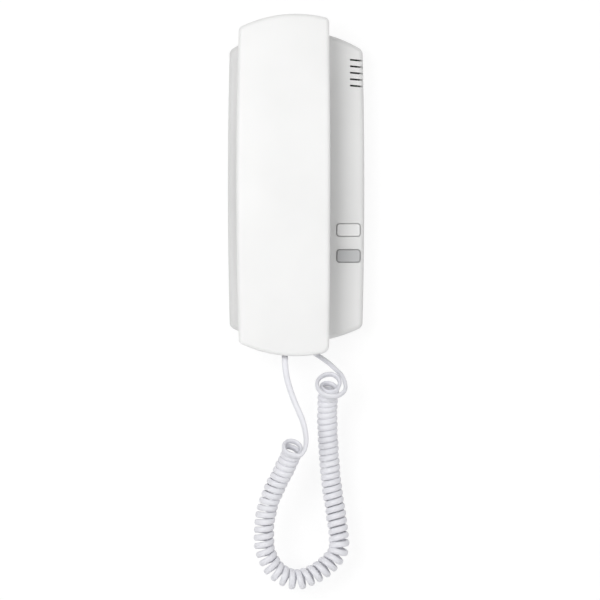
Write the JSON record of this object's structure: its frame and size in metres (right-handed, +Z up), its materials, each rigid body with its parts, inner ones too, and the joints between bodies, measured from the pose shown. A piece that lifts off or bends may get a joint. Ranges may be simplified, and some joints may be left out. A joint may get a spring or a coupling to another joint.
{
  "type": "audio door phone",
  "caption": "Wall-mounted audio door phone with a cradled handset, hook lever, call buttons, sound slots and a curly cord.",
  "frame": {"origin": "middle of the base's back face, on the wall, midway between the two wall screws", "axes": "+X to the right as seen by the user, -Y out of the wall towards the user, +Z up"},
  "size_m": [0.087, 0.058, 0.3637],
  "materials": {
    "cover_plastic": "fine matt texture",
    "rear_plastic": "fine matt texture",
    "handset_plastic": "satin",
    "white_key": "satin",
    "grey_key": "satin",
    "cord_jacket": "smooth jacket",
    "board_green": "solder mask",
    "switch_black": "moulded",
    "terminal_green": "moulded",
    "clear_plug": "clear moulded",
    "lever_white": "slippery moulded",
    "steel": "zinc plated",
    "spring_steel": "drawn wire",
    "rubber_grey": "matt",
    "capsule_metal": "satin",
    "trimmer_blue": "moulded",
    "can_sleeve": "shrunk sleeve"
  },
  "bodies": {
    "base": {"rear_housing": "rear_plastic", "front_cover": "cover_plastic", "main_board": "board_green", "board_screws": "steel", "terminal_block": "terminal_green", "buzzer": "switch_black", "amplifier_chip": "switch_black", "capacitors": "can_sleeve", "volume_trimmer": "trimmer_blue", "door_switch": "switch_black", "aux_switch": "switch_black", "door_spring": "spring_steel", "aux_spring": "spring_steel", "hook_pin": "steel", "hook_switch": "switch_black", "base_jack": "switch_black", "base_plug": "clear_plug", "base_lead": "cord_jacket", "cord_coil": "cord_jacket"},
    "handset": {"outer_shell": "handset_plastic", "inner_shell": "handset_plastic", "earpiece": "capsule_metal", "earpiece_gasket": "rubber_grey", "microphone": "capsule_metal", "microphone_boot": "rubber_grey", "ballast_weight": "steel", "handset_screws": "steel", "handset_jack": "switch_black", "handset_plug": "clear_plug", "handset_lead": "cord_jacket"},
    "door_key": {"door_button": "white_key", "door_plunger": "lever_white"},
    "aux_key": {"aux_button": "grey_key", "aux_plunger": "lever_white"},
    "lever": {"hook_lever": "lever_white"},
    "hook_contact": {"hook_plunger": "lever_white"}
  },
  "joints": [
    {"name": "handset_lift", "type": "slide", "parent": "base", "child": "handset", "axis": [0, -0.9063, 0.4226], "range_m": [0, 0.08]},
    {"name": "lever_swing", "type": "hinge", "parent": "base", "child": "lever", "pos_m": [-0.008, -0.0185, 0.036], "axis": [1, 0, 0], "range_deg": [0, 11.3]},
    {"name": "hook_press", "type": "slide", "parent": "base", "child": "hook_contact", "axis": [0, 1, 0], "range_m": [0, 0.00115]},
    {"name": "door_press", "type": "slide", "parent": "base", "child": "door_key", "axis": [0, 1, 0], "range_m": [0, 0.0015], "stiffness_N_per_m": 300, "deforming": ["door_spring"]},
    {"name": "aux_press", "type": "slide", "parent": "base", "child": "aux_key", "axis": [0, 1, 0], "range_m": [0, 0.0015], "stiffness_N_per_m": 300, "deforming": ["aux_spring"]}
  ],
  "couplings": [
    {"joint": "lever_swing", "follows": "handset_lift", "rad_per_m": 2.4628},
    {"joint": "hook_press", "follows": "handset_lift", "ratio": 0.014361}
  ]
}
